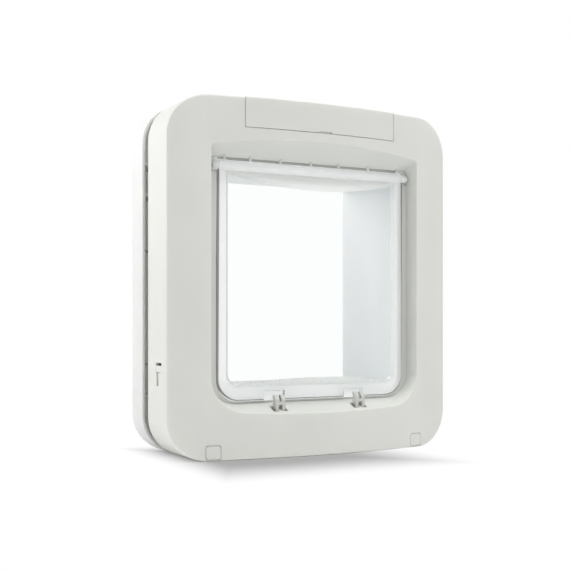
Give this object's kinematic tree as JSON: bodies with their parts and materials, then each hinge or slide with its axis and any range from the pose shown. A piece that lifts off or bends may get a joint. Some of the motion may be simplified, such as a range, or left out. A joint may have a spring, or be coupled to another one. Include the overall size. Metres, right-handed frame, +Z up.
{
  "type": "cat flap",
  "caption": "White battery-powered cat flap with a crowned inner face, a clear swinging flap between two small lock latches, a short tunnel and a ribbed outer frame",
  "frame": {"origin": "bottom centre of the bounding box", "axes": "+Z up along the height of the face, +X to the right seen from indoors, +Y out through the door, crowned inner face towards -Y"},
  "size_m": [0.262, 0.118, 0.285],
  "materials": {
    "casing": "satin off-white moulded plastic",
    "clear_flap": "clear moulded plastic",
    "tunnel_plastic": "satin white plastic",
    "screw_steel": "zinc plated steel",
    "board": "green circuit board",
    "copper": "enamelled copper wire",
    "cell_skin": "plain dark cell sleeve"
  },
  "bodies": {
    "unit": {"front_cover": "casing", "rear_housing": "casing", "tunnel": "tunnel_plastic", "outer_frame": "casing", "battery_tray": "casing", "battery_contacts": "screw_steel", "circuit_board": "board", "board_chips": "cell_skin", "button_switch": "cell_skin", "reader_coil": "copper", "solenoid_left": "screw_steel", "solenoid_right": "screw_steel", "hinge_bush_left": "casing", "hinge_bush_right": "casing", "fixing_screws_bottom": "screw_steel", "fixing_screws_top": "screw_steel", "housing_screws": "screw_steel", "cell_1": "cell_skin", "cell_2": "cell_skin", "cell_3": "cell_skin", "cell_4": "cell_skin"},
    "clear_flap": {"flap": "clear_flap"},
    "left_latch": {"latch_left": "casing"},
    "right_latch": {"latch_right": "casing"},
    "compartment_cover": {"battery_cover": "casing"},
    "pairing_button": {"learn_button": "casing"},
    "left_cap": {"screw_cap_left": "casing"},
    "right_cap": {"screw_cap_right": "casing"}
  },
  "joints": [
    {"name": "flap_swing", "type": "hinge", "parent": "unit", "child": "clear_flap", "pos_m": [0, -0.039, 0.232], "axis": [1, 0, 0], "range_deg": [-80, 76]},
    {"name": "left_latch_lift", "type": "slide", "parent": "unit", "child": "left_latch", "axis": [0, 0, 1], "range_m": [0, 0.005]},
    {"name": "right_latch_lift", "type": "slide", "parent": "unit", "child": "right_latch", "axis": [0, 0, 1], "range_m": [0, 0.005]},
    {"name": "battery_cover_pull", "type": "slide", "parent": "unit", "child": "compartment_cover", "axis": [0, -1, 0], "range_m": [0, 0.045]},
    {"name": "learn_button_press", "type": "slide", "parent": "unit", "child": "pairing_button", "axis": [0, 1, 0], "range_m": [0, 0.001], "stiffness_N_per_m": 800, "springref_m": -0.0005},
    {"name": "left_cap_pull", "type": "slide", "parent": "unit", "child": "left_cap", "axis": [0, -1, 0], "range_m": [0, 0.02]},
    {"name": "right_cap_pull", "type": "slide", "parent": "unit", "child": "right_cap", "axis": [0, -1, 0], "range_m": [0, 0.02]}
  ]
}
